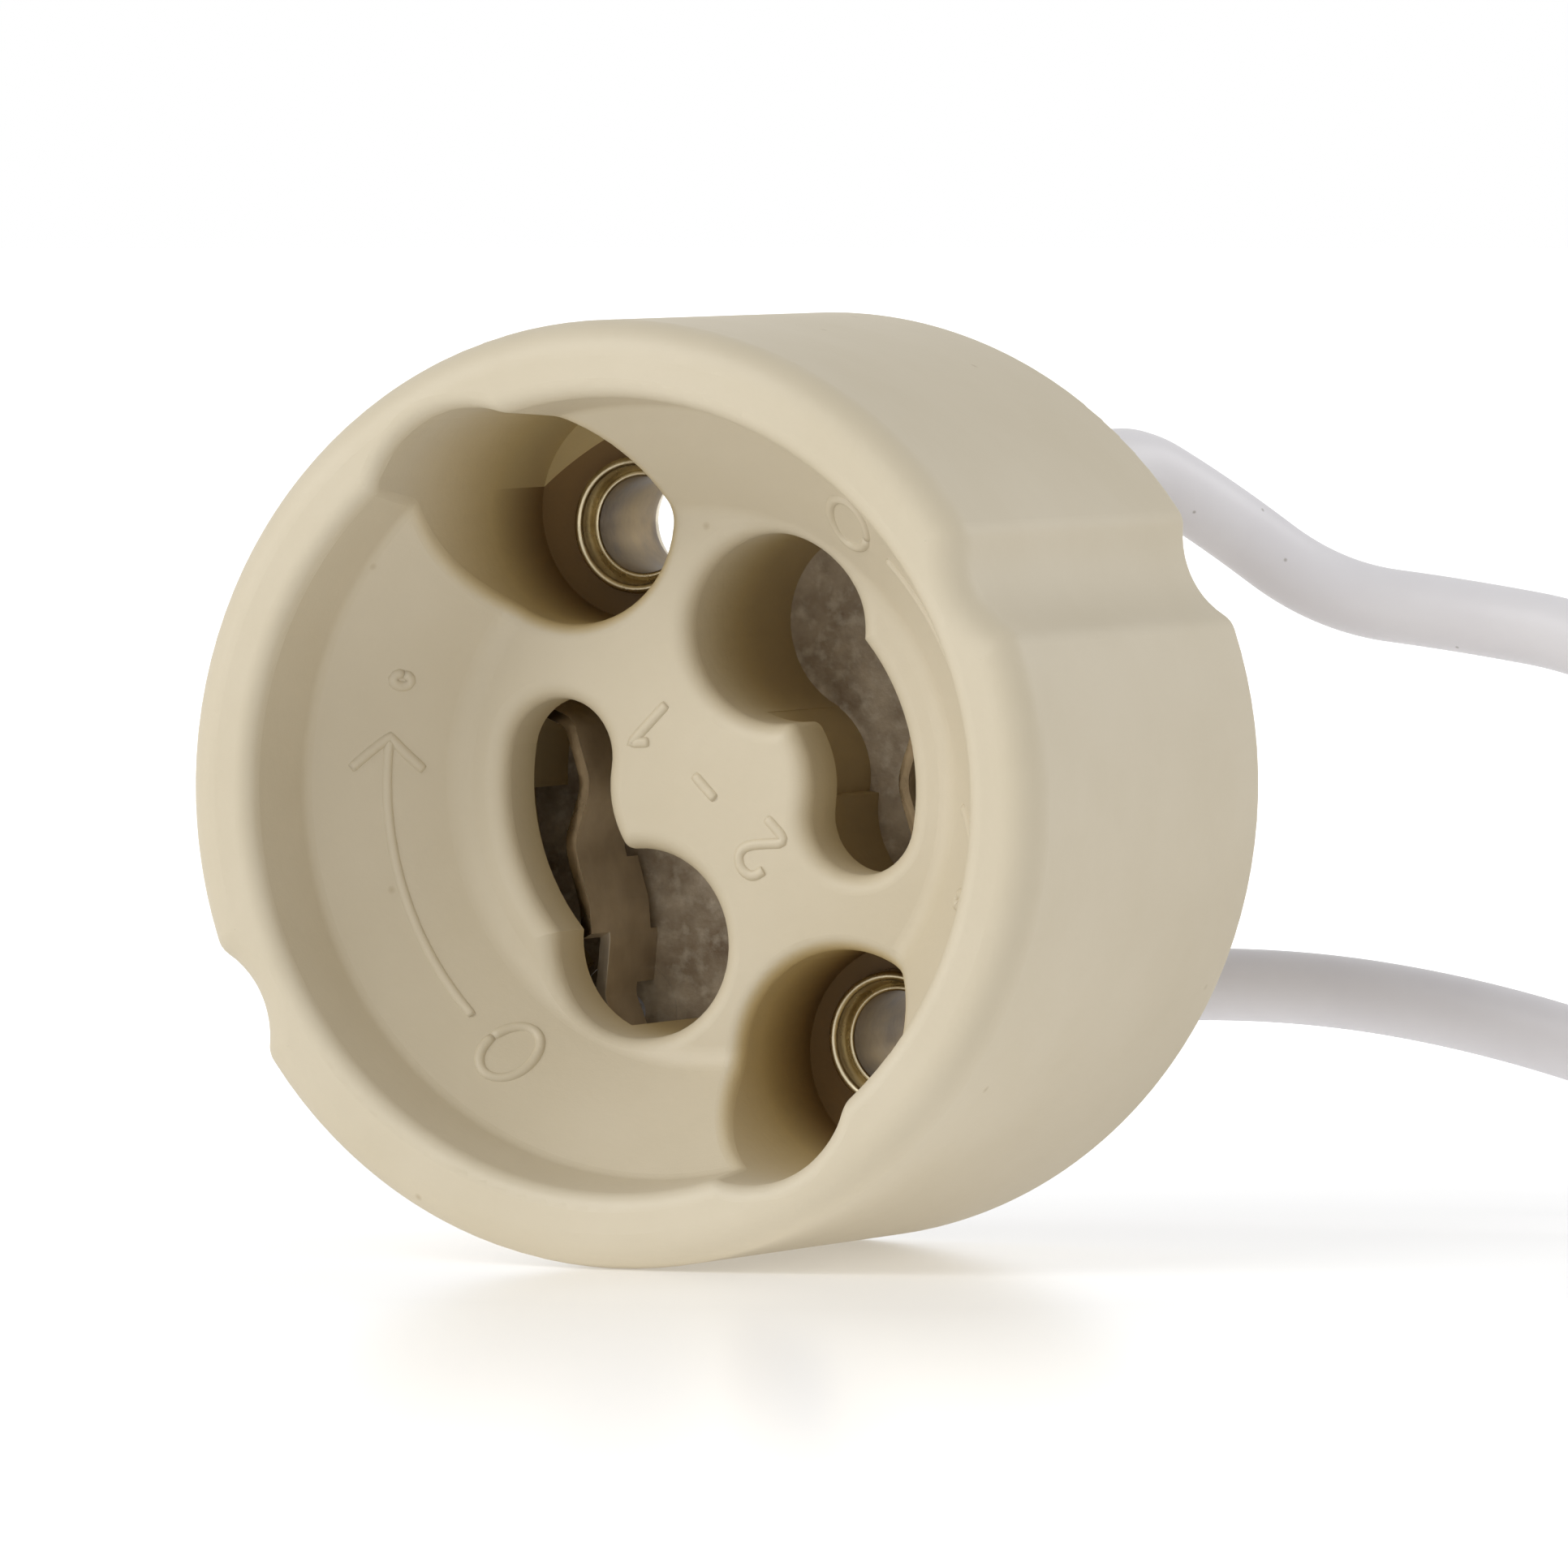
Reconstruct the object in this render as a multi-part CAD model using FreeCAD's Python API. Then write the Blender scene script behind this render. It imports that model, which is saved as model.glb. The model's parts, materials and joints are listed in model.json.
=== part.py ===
import FreeCAD, Part
import math
import os

# A round ceramic lamp holder for a reflector lamp with two mushroom-ended pins.
# The ceramic is one fired piece. Two contact springs stand in chambers behind its
# keyholes, a mica plate closes the chambers at the rear, and two hollow rivets clamp
# the plate and take the fixing screws. A silicone lead is crimped in each contact.
#
# Millimetres. Y runs along the holder's axis, from the lamp side (negative) to the
# rear rim (zero), and Z is up. The origin is the centre of the rear rim's plane.
# Pieces are drawn in an upright stance, with the keyholes on the X axis, and are then
# rolled about Y into the stance in which the holder lies.

vec = FreeCAD.Vector
AXIS = vec(0, 1, 0)

# ---- Driving dimensions -------------------------------------------------------------
roll_deg = 27.5            # keyhole axis above the horizontal as the holder lies

body_r = 14.4              # ceramic outside
body_depth = 16.5
front_round = 1.1          # outer edge on the lamp side
rear_round = 0.4
rim_width = 2.3            # lamp-side rim, from the outside to its inner edge
rim_round = 0.6
rim_draft = 0.3            # the rim's wall closes in by this, down to the funnel
funnel_depth = 3.1
floor_r = 8.4              # flat floor in the middle
floor_depth = 6.9
floor_blend = 1.0
crease_blend = 0.7

groove_depth = 0.7         # shallow grooves along the outside, for the fingers
groove_r = 2.8
groove_blend = 0.8

well_turn_deg = 91.6       # rivet wells, from the keyholes' axis
well_wall = 1.5            # and from the outside
well_r = 3.4
well_round = 0.5
rivet_inward = 0.5         # each rivet stands this far in from the middle of its well
rivet_web = 2.35           # ceramic under a rivet's head

slot_pitch_r = 5.2         # keyholes
slot_half_width = 1.75
key_hole_r = 2.92
key_hole_pitch_r = 5.4
key_half_angle = 37.0      # from the keyhole's middle to each of its ends
key_corner = 0.35          # upright corner between the slot and the big end
key_round = 0.62
web_thickness = 2.2        # from the floor to the chamber behind it

rear_wall = 2.2            # round the recess for the back plate
rear_recess_depth = 2.35
plate_thickness = 0.8
plate_clearance = 0.2
plate_lead_gap = 0.55      # round each lead, where it passes the plate

chamber_core_r = 2.6       # inner wall of a chamber, round a centre beside the axis
chamber_core_u = -0.34
chamber_core_v = 0.28
chamber_spare = 1.15       # room behind the contact, outside the keyhole's path
spare_overlap = 0.5
chamber_end_deg = 12.0

spring_thickness = 0.35
spring_front_gap = 0.5     # from the web to the spring's front edge
leaf_rear_gap = 1.2        # from the leaf's rear edge to the plate
foot_rear_gap = 0.45       # and from the foot at the leaf's wide end
foot_start_v = -0.4
leaf_tip = (1.04, -2.1)    # leaf corners, from the middle of the keyhole's narrow end
leaf_touch = (0.19, -1.1)
leaf_knee = (0.54, 0.9)
leaf_root_in = (2.1, 1.7, 1.25)      # and inside the chamber's outer wall
leaf_root_v = (-1.05, 0.9, 1.95)
leaf_end_v = 1.8           # where the leaf's full width ends and its tail goes on
tail_width = 3.3
tail_start = (0.02, -0.25)  # tail corners, from the crimp barrel's inner side
tail_end = (-0.1, 1.0)
leaf_roundings = (0, 0.6, 1.5, 1.5, 1.2, 0.6, 0.8, 0)
crimp_out = 0.63           # crimp barrel, outside the chamber's outer wall
crimp_v = 3.7              # and across, on the side of the keyhole's big end
crimp_wall = 0.35
crimp_front_gap = 1.55     # from the web to the barrel's front end
crimp_seam = 0.2
crimp_pocket_r = 1.9

rivet_bore_r = 1.5         # M3 screw
rivet_shank_r = 1.9
rivet_head_r = 2.6
rivet_head_height = 0.9
rivet_head_round = 0.5
rivet_flare_r = 2.55
rivet_flare_height = 0.5
rivet_flare_round = 0.3
shank_clearance = 0.2

lead_r = 1.15              # silicone insulation
lead_clearance = 0.2
core_r = 0.5
core_fit = 0.03
core_bare_length = 8.0
core_past_crimp = 0.5
lead_to_crimp = 0.3

# ---- Places worked out from them ----------------------------------------------------
rim_r = body_r - rim_width
funnel_r = rim_r - rim_draft
well_pitch_r = body_r - well_wall - well_r
rivet_pitch_r = well_pitch_r - rivet_inward
rear_recess_r = body_r - rear_wall
front_y = -body_depth
floor_y = front_y + floor_depth
web_y = floor_y + web_thickness
seat_y = -rear_recess_depth
well_y = seat_y - rivet_web
plate_rear_y = seat_y + plate_thickness
spring_front_y = web_y + spring_front_gap
crimp_rear_y = seat_y - lead_r
crimp_front_y = web_y + crimp_front_gap
lead_start_y = crimp_rear_y + lead_to_crimp
crimp_bore_r = core_r + core_fit
crimp_r = crimp_bore_r + crimp_wall
chamber_outer_r = key_hole_pitch_r + key_hole_r
crimp_u = chamber_outer_r + crimp_out
BEYOND = 2.0               # how far a cutting tool runs past the face that it opens


# ---- Helpers ------------------------------------------------------------------------
def polar(radius, angle_deg, y=0.0):
    angle = math.radians(angle_deg)
    return vec(radius * math.cos(angle), y, radius * math.sin(angle))


def rod(radius, y_start, y_end, centre=vec(0, 0, 0)):
    base = vec(centre.x, y_start, centre.z)
    return Part.makeCylinder(radius, y_end - y_start, base, AXIS)


def sector(inner_r, outer_r, start_deg, end_deg, y_start, y_end):
    """A curved bar about the axis, between two radii and two angles."""
    middle = (start_deg + end_deg) / 2
    edges = [
        Part.Arc(polar(inner_r, start_deg, y_start), polar(inner_r, middle, y_start),
                 polar(inner_r, end_deg, y_start)).toShape(),
        Part.LineSegment(polar(inner_r, end_deg, y_start), polar(outer_r, end_deg, y_start)).toShape(),
        Part.Arc(polar(outer_r, end_deg, y_start), polar(outer_r, middle, y_start),
                 polar(outer_r, start_deg, y_start)).toShape(),
        Part.LineSegment(polar(outer_r, start_deg, y_start), polar(inner_r, start_deg, y_start)).toShape(),
    ]
    return Part.Face(Part.Wire(edges)).extrude(vec(0, y_end - y_start, 0))


def round_trim(before, corner, after, radius):
    """How much of each side a round of this radius takes from a corner."""
    turn = (corner - before).getAngle(after - corner)
    return radius * math.tan(turn / 2)


def bent_wire(points, trims, closed=False):
    """Straight runs joined by tangent arcs. A trim is the length an arc takes from each side."""
    count = len(points)
    edges = []
    starts, ends = list(points), list(points)
    arcs = {}
    for i, corner in enumerate(points):
        if trims[i] <= 1e-6 or (not closed and i in (0, count - 1)):
            continue
        into = (corner - points[i - 1]).normalize()
        out = (points[(i + 1) % count] - corner).normalize()
        half_turn = into.getAngle(out) / 2
        if half_turn < 1e-4:
            continue
        radius = trims[i] / math.tan(half_turn)
        inward = (out - into).normalize()
        first = corner - into * trims[i]
        last = corner + out * trims[i]
        middle = corner + inward * (radius / math.cos(half_turn) - radius)
        ends[i], starts[i] = first, last
        arcs[i] = Part.Arc(first, middle, last).toShape()
    for i in range(count if closed else count - 1):
        after = (i + 1) % count
        if (ends[after] - starts[i]).Length > 1e-6:
            edges.append(Part.LineSegment(starts[i], ends[after]).toShape())
        if after in arcs:
            edges.append(arcs[after])
    return Part.Wire(edges)


def turned(profile):
    """Turn a closed profile of (radius, y, rounding) about the Y axis."""
    points = [vec(radius, y, 0) for radius, y, _ in profile]
    count = len(points)
    trims = []
    for i, (_, _, rounding) in enumerate(profile):
        after = points[(i + 1) % count]
        trims.append(round_trim(points[i - 1], points[i], after, rounding) if rounding else 0.0)
    face = Part.Face(bent_wire(points, trims, closed=True))
    return face.revolve(vec(0, 0, 0), AXIS, 360)


def round_edges(shape, radius, wanted):
    edges = [edge for edge in shape.Edges if wanted(edge)]
    return shape.makeFillet(radius, edges)


def rolled(shape, half_turn=False):
    """From the drawn stance to the one in which the holder lies."""
    turned_shape = shape.copy()
    turned_shape.rotate(vec(0, 0, 0), AXIS, -roll_deg - (180 if half_turn else 0))
    return turned_shape


# ---- Ceramic body -------------------------------------------------------------------
def ceramic_outline():
    """The pressed block: a disc with a groove on each side and rounded edges."""
    block = rod(body_r, front_y, 0)
    for side in (0, 180):
        centre = polar(body_r + groove_r - groove_depth, side)
        block = block.cut(rod(groove_r, front_y - BEYOND, BEYOND, centre))
    block = round_edges(block, groove_blend, lambda edge: len(edge.Vertexes) == 2
                        and abs(abs(edge.Vertexes[0].Y - edge.Vertexes[1].Y) - body_depth) < 1e-6)
    block = round_edges(block, front_round, lambda edge: edge.BoundBox.YMax < front_y + 1e-6)
    return round_edges(block, rear_round, lambda edge: edge.BoundBox.YMin > -1e-6)


def funnel_tool():
    """What the lamp's nose fills: rim wall, funnel and flat floor."""
    return turned([
        (0, front_y - BEYOND, 0),
        (rim_r, front_y - BEYOND, 0),
        (rim_r, front_y, 0),
        (funnel_r, front_y + funnel_depth, crease_blend),
        (floor_r, floor_y, floor_blend),
        (0, floor_y, 0),
    ])


def is_upright(edge):
    ends = edge.Vertexes
    return len(ends) == 2 and math.hypot(ends[0].X - ends[1].X, ends[0].Z - ends[1].Z) < 1e-4


def keyhole_tool():
    """Drawn about the +X axis: the big end is at the positive angle."""
    start_y, end_y = front_y - BEYOND, web_y + BEYOND / 2
    inner_r = slot_pitch_r - slot_half_width
    slot = sector(inner_r, inner_r + 2 * slot_half_width, -key_half_angle, key_half_angle, start_y, end_y)
    big_end = rod(key_hole_r, start_y, end_y, polar(key_hole_pitch_r, key_half_angle))
    narrow_end = rod(slot_half_width, start_y, end_y, polar(slot_pitch_r, -key_half_angle))
    tool = slot.fuse([big_end, narrow_end]).removeSplitter()
    return round_edges(tool, key_corner, lambda edge: is_upright(edge) and edge.Vertexes[0].Z > 0
                       and abs(math.hypot(edge.Vertexes[0].X, edge.Vertexes[0].Z) - inner_r) < 0.01)


def on_mouth(edge, tool):
    """Whether an edge runs round the mouth that this tool has cut in the floor and funnel."""
    if edge.Degenerated or edge.BoundBox.YMin < front_y + funnel_depth:
        return False
    if edge.BoundBox.YMax > floor_y + 0.01:
        return False
    return all(tool.distToShape(Part.Vertex(point))[0] < 0.01 for point in edge.discretize(7))


def chamber_tool():
    """The room behind a keyhole, open to the rear, with a pocket for the crimp."""
    rear = seat_y + BEYOND / 4
    room = sector(chamber_core_r / 2, chamber_outer_r, -key_half_angle, key_half_angle, web_y, rear)
    room = room.cut(rod(chamber_core_r, web_y - BEYOND, rear + BEYOND, vec(chamber_core_u, 0, chamber_core_v)))
    ends = [rod(key_hole_r, web_y, rear, polar(key_hole_pitch_r, side * key_half_angle))
            for side in (-1, 1)]
    spare = sector(chamber_outer_r - spare_overlap, chamber_outer_r + chamber_spare,
                   chamber_end_deg - key_half_angle, key_half_angle, web_y, rear)
    pocket = rod(crimp_pocket_r, web_y, rear, vec(crimp_u, 0, crimp_v))
    return room.fuse(ends + [spare, pocket])


def on_well_mouth(edge, centre):
    """Whether an edge runs round the mouth of the well about this centre."""
    if edge.Degenerated or edge.BoundBox.YMax > well_y - 0.1:
        return False
    points = edge.discretize(5)
    return all(abs(math.hypot(point.x - centre.x, point.z - centre.z) - well_r) < 0.01 for point in points)


def ceramic_body():
    body = ceramic_outline().cut(funnel_tool())
    body = round_edges(body, rim_round, lambda edge: edge.BoundBox.YMax < front_y + 1e-6
                       and edge.BoundBox.XMax < rim_r + 0.01)
    body = body.cut(rod(rear_recess_r, seat_y, BEYOND))
    for side in (well_turn_deg, well_turn_deg + 180):
        centre = polar(well_pitch_r, side)
        body = body.cut(rod(well_r, front_y - BEYOND, well_y, centre))
        body = round_edges(body, well_round, lambda edge: on_well_mouth(edge, centre))
        shank_hole = rod(rivet_shank_r + shank_clearance, well_y - BEYOND, BEYOND, polar(rivet_pitch_r, side))
        body = body.cut(shank_hole)
    for half_turn in (0, 180):
        keyhole, chamber = keyhole_tool(), chamber_tool()
        for tool in (keyhole, chamber):
            tool.rotate(vec(0, 0, 0), AXIS, half_turn)
        body = body.cut(keyhole)
        body = round_edges(body, key_round, lambda edge: on_mouth(edge, keyhole))
        body = body.cut(chamber)
    return body.removeSplitter()


# ---- Back plate ---------------------------------------------------------------------
def mica_back_plate():
    plate = rod(rear_recess_r - plate_clearance, seat_y, plate_rear_y)
    for side in (well_turn_deg, well_turn_deg + 180):
        centre = polar(rivet_pitch_r, side)
        plate = plate.cut(rod(rivet_shank_r + shank_clearance, seat_y - BEYOND, BEYOND, centre))
    for side in (1, -1):
        centre = vec(side * crimp_u, 0, side * crimp_v)
        plate = plate.cut(rod(lead_r + plate_lead_gap, seat_y - BEYOND, BEYOND, centre))
    return plate


# ---- Contact springs ----------------------------------------------------------------
def strip_outline(points, roundings, thickness, y):
    """A bent strip's outline, from the corners of its middle line as (x, z)."""
    middle = [vec(x, y, z) for x, z in points]
    sides = []
    for side in (1, -1):
        corners, trims = [], []
        for i, corner in enumerate(middle):
            runs = []
            if i > 0:
                runs.append((corner - middle[i - 1]).normalize())
            if i < len(middle) - 1:
                runs.append((middle[i + 1] - corner).normalize())
            normals = [vec(-run.z, 0, run.x) for run in runs]
            mitre = (normals[0] + normals[-1]).normalize()
            stretch = 1 / mitre.dot(normals[0])
            corners.append(corner + mitre * (side * stretch * thickness / 2))
            if len(runs) == 2:
                turn = runs[0].getAngle(runs[1])
                bends_to_side = normals[0].dot(runs[1]) * side > 0
                radius = roundings[i] + (-thickness / 2 if bends_to_side else thickness / 2)
                trims.append(radius * math.tan(turn / 2))
            else:
                trims.append(0.0)
        sides.append((corners, trims))
    corners = sides[0][0] + sides[1][0][::-1]
    trims = sides[0][1] + sides[1][1][::-1]
    return bent_wire(corners, trims, closed=True)


def contact_spring():
    """Drawn about the +X axis. The leaf bends in towards the axis at the narrow end."""
    narrow = polar(key_hole_pitch_r, -key_half_angle)
    leaf = [(narrow.x + x, narrow.z + z) for x, z in (leaf_tip, leaf_touch, leaf_knee)]
    leaf += [(chamber_outer_r - inward, z) for inward, z in zip(leaf_root_in, leaf_root_v)]
    leaf += [(crimp_u - crimp_r - inward, crimp_v + z) for inward, z in (tail_start, tail_end)]
    outline = strip_outline(leaf, leaf_roundings, spring_thickness, spring_front_y)
    strip = Part.Face(outline).extrude(vec(0, seat_y - spring_front_y, 0))
    notch = Part.makeBox(body_r, seat_y - tail_width - spring_front_y + BEYOND, body_r,
                         vec(0, spring_front_y - BEYOND, leaf_end_v))
    under_leaf = Part.makeBox(body_r, leaf_rear_gap + BEYOND, body_r,
                              vec(0, seat_y - leaf_rear_gap, foot_start_v - body_r))
    under_foot = Part.makeBox(body_r, foot_rear_gap + BEYOND, leaf_end_v - foot_start_v,
                              vec(0, seat_y - foot_rear_gap, foot_start_v))
    strip = strip.cut([notch, under_leaf, under_foot])
    centre = vec(crimp_u, 0, crimp_v)
    barrel = rod(crimp_r, crimp_front_y, crimp_rear_y, centre)
    spring = strip.fuse(barrel)
    spring = spring.cut(rod(crimp_bore_r, crimp_front_y - BEYOND, BEYOND, centre))
    spring = spring.cut(rod(lead_r + lead_clearance, crimp_rear_y, BEYOND, centre))
    seam = Part.makeBox(crimp_r + BEYOND, crimp_rear_y - crimp_front_y + 2 * BEYOND, crimp_seam,
                        vec(crimp_u, crimp_front_y - BEYOND, crimp_v - crimp_seam / 2))
    return spring.cut(seam).removeSplitter()


# ---- Rivets -------------------------------------------------------------------------
def hollow_rivet():
    """A tube with a rolled head on the lamp side and a rolled flare at the rear."""
    head_y = well_y - rivet_head_height
    flare_y = plate_rear_y + rivet_flare_height
    return turned([
        (rivet_bore_r, head_y, rivet_head_round),
        (rivet_head_r, head_y, rivet_head_round),
        (rivet_head_r, well_y, 0),
        (rivet_shank_r, well_y, 0),
        (rivet_shank_r, plate_rear_y, 0),
        (rivet_flare_r, plate_rear_y, 0),
        (rivet_flare_r, flare_y, rivet_flare_round),
        (rivet_bore_r, flare_y, rivet_flare_round),
    ])


# ---- Leads --------------------------------------------------------------------------
# A lead leaves its crimp, passes the back plate and bends round behind the holder to
# its right-hand side, comes down to the surface that the holder lies on, and makes one
# round turn there. The upper lead's turn lies on the lower lead's.
surface_z = -body_r
turn_centre_x = 43.0
turn_centre_y = 0.0
turn_r = 12.6
turn_pitch = 2.7           # how much the turn closes in on itself
turn_points = 12
resting_gap = 0.3          # between the upper lead's turn and the lower lead's
tail_angles = (30, 60, 93)  # each lead's end curls in from the turn, in three corners
tail_radii = (10.9, 9.6, 7.6)
RUN_SHARE = 0.45           # of the shorter run beside it, taken by each bend


def lead_turn(height, count):
    """Corners of the round turn, from its rearmost point on, clockwise from above,
    and of the end that curls in from it."""
    places = []
    for k in range(count):
        share = (k + 0.5) / turn_points
        radius = (turn_r + turn_pitch * (0.5 - share)) / math.cos(math.pi / turn_points)
        places.append((radius, 90 - 360 * share))
    last_angle = places[-1][1]
    places += [(radius, last_angle - angle) for radius, angle in zip(tail_radii, tail_angles)]
    return [vec(turn_centre_x + radius * math.cos(math.radians(angle)),
                turn_centre_y + radius * math.sin(math.radians(angle)), height)
            for radius, angle in places]


def lead_route(side):
    """side is 1 for the upper lead and -1 for the lower one."""
    start = rolled(Part.Vertex(side * crimp_u, lead_start_y, side * crimp_v)).Point
    if side > 0:
        free = [(start.x, 1.0, start.z), (6.7, 5.3, 9.15), (8.5, 9.3, 7.85), (11.2, 12.0, 5.35),
                (15.2, 13.4, 4.8), (20.0, 13.8, 4.0), (25.5, 13.9, 1.1), (30.5, 13.9, -4.4),
                (35.6, 13.9, -9.2)]
        height = surface_z + 3 * lead_r + resting_gap
        count = 11
    else:
        free = [(start.x, 1.2, start.z), (-5.2, 6.4, -7.2), (-1.9, 10.8, -7.1), (3.2, 13.2, -7.1),
                (9.2, 14.2, -7.0), (15.2, 14.5, -7.8), (21.4, 14.4, -9.4), (28.5, 14.1, -11.9),
                (36.0, 13.95, surface_z + lead_r)]
        height = surface_z + lead_r
        count = 10
    return [start] + [vec(*point) for point in free] + lead_turn(height, count)


def lead_tube(route, name):
    """The insulation along its route, with the bend radii and the volume checked."""
    trims, radii = [], []
    for i in range(len(route)):
        if i in (0, len(route) - 1):
            trims.append(0.0)
            continue
        before, after = route[i] - route[i - 1], route[i + 1] - route[i]
        trim = RUN_SHARE * min(before.Length, after.Length)
        trims.append(trim)
        radii.append(trim / math.tan(before.getAngle(after) / 2))
    path = bent_wire(route, trims)
    section = Part.Wire([Part.Circle(route[0], route[1] - route[0], lead_r).toShape()])
    tube = path.makePipeShell([section], True, False)
    expected = math.pi * lead_r ** 2 * path.Length
    print(name, "length %.1f" % path.Length, "volume/expected %.4f" % (tube.Volume / expected),
          "radii", " ".join("%.1f" % radius for radius in radii))
    return tube


def core_stub(start, direction, length):
    return Part.makeCylinder(core_r, length, start, direction)


# ---- Build and write ----------------------------------------------------------------
def write(node, shape):
    shape = shape.Solids[0] if len(shape.Solids) == 1 else shape
    print("%-24s solids %d valid %s volume %.1f" % (node, len(shape.Solids), shape.isValid(), shape.Volume))
    shape.exportStep("parts/" + node + ".step")


os.makedirs("parts", exist_ok=True)

write("ceramic_body", rolled(ceramic_body()))
write("mica_back_plate", rolled(mica_back_plate()))
for name, half_turn in (("contact_right", False), ("contact_left", True)):
    write(name, rolled(contact_spring(), half_turn))
for name, side in (("rivet_upper", well_turn_deg), ("rivet_lower", well_turn_deg + 180)):
    rivet = hollow_rivet()
    rivet.translate(polar(rivet_pitch_r, side))
    write(name, rolled(rivet))
for name, side in (("upper", 1), ("lower", -1)):
    route = lead_route(side)
    write("lead_" + name, lead_tube(route, "lead_" + name))
    crimped = core_stub(vec(route[0].x, crimp_front_y - core_past_crimp, route[0].z), AXIS,
                        lead_start_y - crimp_front_y + core_past_crimp)
    write("core_crimped_" + name, crimped)
    write("core_bare_end_" + name, core_stub(route[-1], route[-1] - route[-2], core_bare_length))
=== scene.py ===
# %% [markdown]
# # A ceramic lamp holder with two silicone leads
#
# The holder takes a reflector lamp with two mushroom-ended pins. The pins go into the big
# ends of two keyholes, and a short twist locks them. Behind the keyholes stand two contact
# springs, a mica plate closes the back, and two hollow rivets hold the plate and let the
# fixing screws through.
#
# The solid shapes come from the CAD model, which is loaded here as a fixed frame. This
# lesson gives them their finishes, and makes the pieces that need finer work than a CAD
# solid has: the leads, the twisted copper strands, the rolled rivets and the springs.

import json
import math

import bmesh
import bpy
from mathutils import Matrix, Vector
from mathutils.bvhtree import BVHTree

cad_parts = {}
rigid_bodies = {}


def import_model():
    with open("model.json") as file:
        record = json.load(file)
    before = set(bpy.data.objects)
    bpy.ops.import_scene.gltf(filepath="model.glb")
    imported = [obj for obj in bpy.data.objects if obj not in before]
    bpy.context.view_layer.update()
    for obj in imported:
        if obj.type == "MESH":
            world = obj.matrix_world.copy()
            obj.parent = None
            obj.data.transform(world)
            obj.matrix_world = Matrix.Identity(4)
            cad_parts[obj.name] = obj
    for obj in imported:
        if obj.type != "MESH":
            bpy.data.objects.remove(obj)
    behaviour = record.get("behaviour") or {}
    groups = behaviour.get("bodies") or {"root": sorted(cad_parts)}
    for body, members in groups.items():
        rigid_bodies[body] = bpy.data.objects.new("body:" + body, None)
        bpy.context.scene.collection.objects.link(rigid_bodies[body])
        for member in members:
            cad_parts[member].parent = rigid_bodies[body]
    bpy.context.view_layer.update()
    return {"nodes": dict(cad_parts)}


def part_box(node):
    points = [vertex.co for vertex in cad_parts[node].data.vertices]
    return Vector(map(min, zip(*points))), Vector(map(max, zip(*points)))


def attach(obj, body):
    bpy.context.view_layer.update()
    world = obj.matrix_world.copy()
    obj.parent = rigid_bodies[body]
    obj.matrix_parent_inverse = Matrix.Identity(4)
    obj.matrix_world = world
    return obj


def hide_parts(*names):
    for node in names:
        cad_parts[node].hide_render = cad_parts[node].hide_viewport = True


for leftover in list(bpy.data.objects):
    bpy.data.objects.remove(leftover)
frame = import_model()
nodes = frame["nodes"]
MM = 0.001

# %% [markdown]
# ## The camera
#
# A small object is best shown with a long lens from some distance, because a short lens
# close by would swell its near side. The camera stands to the right of the holder's axis
# and a little above it, so that it looks into the lamp's recess and along the curved side.
# The aim is a point beside the holder, to leave room for the leads.

# %% Camera
holder_low, holder_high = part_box("ceramic_body")
front_centre = Vector((0, holder_low.y, 0))
camera_azimuth = math.radians(26.58)
camera_elevation = math.radians(2.52)
camera_distance = 0.5223
to_camera = Vector((math.sin(camera_azimuth) * math.cos(camera_elevation),
                    -math.cos(camera_azimuth) * math.cos(camera_elevation),
                    math.sin(camera_elevation)))
to_right = Vector((math.cos(camera_azimuth), math.sin(camera_azimuth), 0))
to_top = to_right.cross(-to_camera)

camera_data = bpy.data.cameras.new("studio_camera")
camera_data.sensor_width = 36
camera_data.lens = 396.4
camera_data.clip_start = 0.05
camera_data.clip_end = 20
camera = bpy.data.objects.new("studio_camera", camera_data)
bpy.context.scene.collection.objects.link(camera)
camera.location = front_centre + to_camera * camera_distance
aim = front_centre + to_right * 5.46 * MM + to_top * 0.57 * MM
camera.rotation_mode = "QUATERNION"
camera.rotation_quaternion = (aim - camera.location).to_track_quat("-Z", "Y")
bpy.context.scene.camera = camera
bpy.context.scene.view_settings.view_transform = "Standard"
print("camera at", [round(value, 3) for value in camera.location])

# %% [markdown]
# ## The leads
#
# Each lead is a limp silicone-covered copper strand. It leaves its crimp through the back
# plate, bends round behind the holder to its right-hand side, sinks to the table and rests
# there in one loose turn. A polygon tube with a bent-wire look would give it away, so each
# lead is one smooth NURBS curve with a round bevel. Its control points are the corners of
# the lead's route in the CAD model. The turn is worked out by a loop.

# %% Routes of the leads
lead_radius = 1.15 * MM
lead_start_y = -2.2
table_z = holder_low.z / MM
turn_centre_x, turn_centre_y = 43.0, 0.0
turn_radius, turn_closing, points_per_turn = 12.6, 2.7, 12
tail_angles = (30, 60, 93)
tail_radii = (10.9, 9.6, 7.6)


def crimp_place(side):
    """Where the lead of this side is crimped, as x and z in millimetres."""
    low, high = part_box("core_crimped_" + side)
    middle = (low + high) / 2 / MM
    return middle.x, middle.z


def loose_turn(height, count):
    """Corners of the turn on the table, clockwise from above, and of the end that curls in."""
    places = []
    for k in range(count):
        share = (k + 0.5) / points_per_turn
        radius = turn_radius + turn_closing * (0.5 - share)
        places.append((radius / math.cos(math.pi / points_per_turn), 90 - 360 * share))
    last_angle = places[-1][1]
    places += [(radius, last_angle - angle) for radius, angle in zip(tail_radii, tail_angles)]
    return [(turn_centre_x + radius * math.cos(math.radians(angle)),
             turn_centre_y + radius * math.sin(math.radians(angle)), height)
            for radius, angle in places]


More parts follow.
